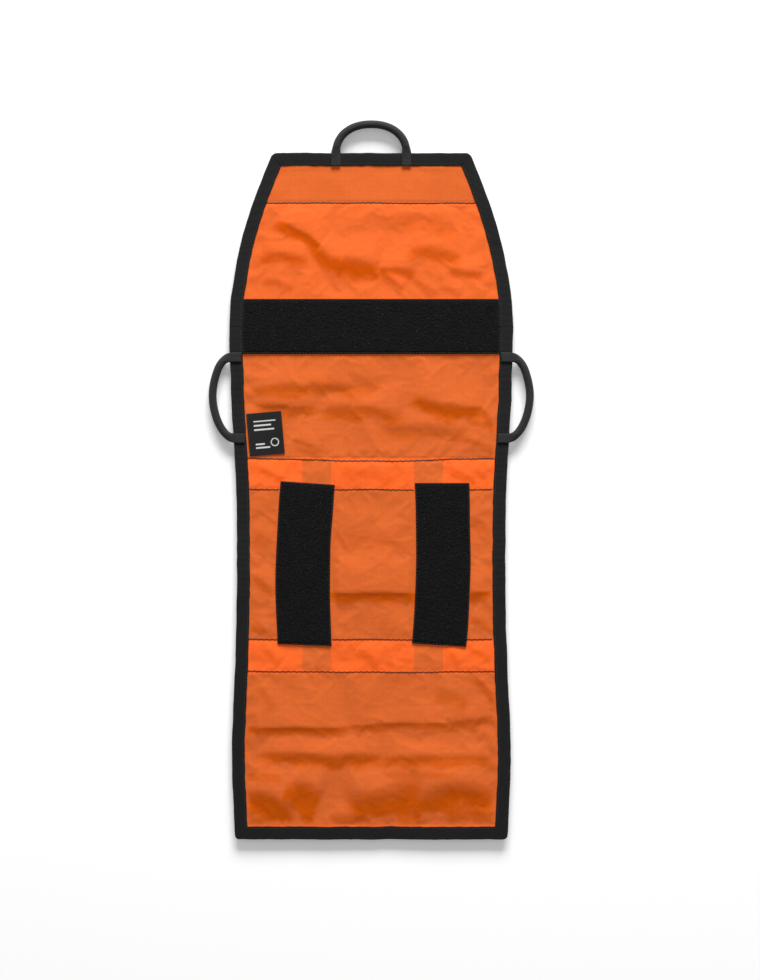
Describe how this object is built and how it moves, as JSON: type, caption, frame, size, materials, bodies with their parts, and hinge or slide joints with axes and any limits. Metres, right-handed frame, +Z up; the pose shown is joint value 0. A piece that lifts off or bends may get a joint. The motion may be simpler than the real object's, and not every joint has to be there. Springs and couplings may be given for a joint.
{
  "type": "fold-out pocket organiser panel",
  "caption": "Soft fold-out organiser panel of thin orange ripstop with black binding, cord handles, hook-and-loop closure strips and zipped mesh pockets on its far side.",
  "frame": {"origin": "centre of the footprint on the surface that the panel lies on", "axes": "+X across the panel, +Y from the bottom edge towards the flap and its handle, +Z up, out of the back face"},
  "size_m": [0.3012, 0.666, 0.0084],
  "materials": {
    "ripstop_shell": "thin coated ripstop nylon, slight sheen",
    "binding_tape": "ribbed grosgrain tape",
    "loop_tape": "fuzzy loop pile, fully matt",
    "hook_tape": "moulded hooks on woven tape",
    "webbing": "flat woven webbing",
    "pocket_mesh": "open knitted mesh",
    "zip_tape": "herringbone zip tape",
    "zip_coil": "nylon coil",
    "zip_metal": "black painted die casting",
    "handle_cord": "round woven cord",
    "cord_end": "flattened cord end, stitched down",
    "label_fabric": "woven satin label"
  },
  "bodies": {
    "upper": {"shell_upper": "ripstop_shell", "binding_upper_left": "binding_tape", "binding_upper_right": "binding_tape", "rear_loop_band": "loop_tape", "upper_pocket_front": "pocket_mesh", "upper_pocket_header": "ripstop_shell", "upper_pocket_zip_tape_lower": "zip_tape", "upper_pocket_zip_tape_upper": "zip_tape", "upper_pocket_zip_coil": "zip_coil", "handle_left_anchor_low": "cord_end", "handle_left_anchor_high": "cord_end", "handle_right_anchor_low": "cord_end", "handle_right_anchor_high": "cord_end"},
    "upper_band": {"shell_band": "ripstop_shell", "binding_band_left": "binding_tape", "binding_band_right": "binding_tape", "webbing_band_left": "webbing", "webbing_band_right": "webbing"},
    "middle": {"shell_middle": "ripstop_shell", "binding_middle_left": "binding_tape", "binding_middle_right": "binding_tape", "closure_loop_left": "loop_tape", "closure_loop_right": "loop_tape", "webbing_middle_left": "webbing", "webbing_middle_right": "webbing", "middle_pocket_front": "pocket_mesh", "middle_pocket_header": "ripstop_shell", "middle_pocket_zip_tape_lower": "zip_tape", "middle_pocket_zip_tape_upper": "zip_tape", "middle_pocket_zip_coil": "zip_coil"},
    "lower": {"shell_lower": "ripstop_shell", "binding_bottom": "binding_tape", "binding_lower_left": "binding_tape", "binding_lower_right": "binding_tape", "lower_pocket_front": "pocket_mesh", "lower_pocket_header": "ripstop_shell", "lower_pocket_zip_tape_lower": "zip_tape", "lower_pocket_zip_tape_upper": "zip_tape", "lower_pocket_zip_coil": "zip_coil"},
    "flap_spine": {"shell_spine": "ripstop_shell", "binding_spine_left": "binding_tape", "binding_spine_right": "binding_tape"},
    "flap": {"shell_flap": "ripstop_shell", "binding_flap_left": "binding_tape", "binding_flap_right": "binding_tape", "binding_top": "binding_tape", "closure_hook_strip": "hook_tape", "handle_top_anchor_left": "cord_end", "handle_top_anchor_right": "cord_end"},
    "top_handle": {"handle_top": "handle_cord"},
    "left_handle": {"handle_left": "handle_cord"},
    "right_handle": {"handle_right": "handle_cord"},
    "label": {"care_label": "label_fabric"},
    "upper_slider": {"upper_pocket_zip_slider": "zip_metal"},
    "middle_slider": {"middle_pocket_zip_slider": "zip_metal"},
    "lower_slider": {"lower_pocket_zip_slider": "zip_metal"},
    "upper_pull": {"upper_pocket_zip_pull": "zip_metal"},
    "middle_pull": {"middle_pocket_zip_pull": "zip_metal"},
    "lower_pull": {"lower_pocket_zip_pull": "zip_metal"}
  },
  "joints": [
    {"name": "flap_spine_fold", "type": "hinge", "parent": "upper", "child": "flap_spine", "pos_m": [0, 0.204, 0.00475], "axis": [-1, 0, 0], "range_deg": [-30, 90]},
    {"name": "flap_fold", "type": "hinge", "parent": "flap_spine", "child": "flap", "pos_m": [0, 0.23, 0.00475], "axis": [-1, 0, 0], "range_deg": [-30, 90]},
    {"name": "upper_band_fold", "type": "hinge", "parent": "upper", "child": "upper_band", "pos_m": [0, 0.0183, 0.00475], "axis": [1, 0, 0], "range_deg": [-30, 90]},
    {"name": "middle_fold", "type": "hinge", "parent": "upper_band", "child": "middle", "pos_m": [0, -0.0004, 0.00475], "axis": [1, 0, 0], "range_deg": [-30, 90]},
    {"name": "lower_fold", "type": "hinge", "parent": "middle", "child": "lower", "pos_m": [0, -0.1774, -0.00015], "axis": [1, 0, 0], "range_deg": [0, 180]},
    {"name": "top_handle_swing", "type": "hinge", "parent": "flap", "child": "top_handle", "pos_m": [0, 0.3068, 0.00475], "axis": [1, 0, 0], "range_deg": [-90, 90]},
    {"name": "left_handle_swing", "type": "hinge", "parent": "upper", "child": "left_handle", "pos_m": [-0.1353, 0.076, 0.00475], "axis": [0, 1, 0], "range_deg": [-90, 90]},
    {"name": "right_handle_swing", "type": "hinge", "parent": "upper", "child": "right_handle", "pos_m": [0.1353, 0.076, 0.00475], "axis": [0, -1, 0], "range_deg": [-90, 90]},
    {"name": "label_flip", "type": "hinge", "parent": "upper", "child": "label", "pos_m": [-0.11404, 0.04139, 0.00555], "axis": [0.0872, -0.9962, 0], "range_deg": [0, 120]},
    {"name": "upper_zip_slide", "type": "slide", "parent": "upper", "child": "upper_slider", "axis": [1, 0, 0], "range_m": [0, 0.19]},
    {"name": "upper_pull_swing", "type": "hinge", "parent": "upper_slider", "child": "upper_pull", "pos_m": [-0.0895, 0.1495, 0.0004], "axis": [0, -1, 0], "range_deg": [-100, 0]},
    {"name": "middle_zip_slide", "type": "slide", "parent": "middle", "child": "middle_slider", "axis": [-1, 0, 0], "range_m": [0, 0.19]},
    {"name": "middle_pull_swing", "type": "hinge", "parent": "middle_slider", "child": "middle_pull", "pos_m": [0.0895, -0.026, 0.0004], "axis": [0, 1, 0], "range_deg": [-100, 0]},
    {"name": "lower_zip_slide", "type": "slide", "parent": "lower", "child": "lower_slider", "axis": [1, 0, 0], "range_m": [0, 0.19]},
    {"name": "lower_pull_swing", "type": "hinge", "parent": "lower_slider", "child": "lower_pull", "pos_m": [-0.0895, -0.1974, 0.0004], "axis": [0, -1, 0], "range_deg": [-100, 0]}
  ],
  "couplings": [
    {"joint": "flap_fold", "follows": "flap_spine_fold", "ratio": 1}
  ]
}
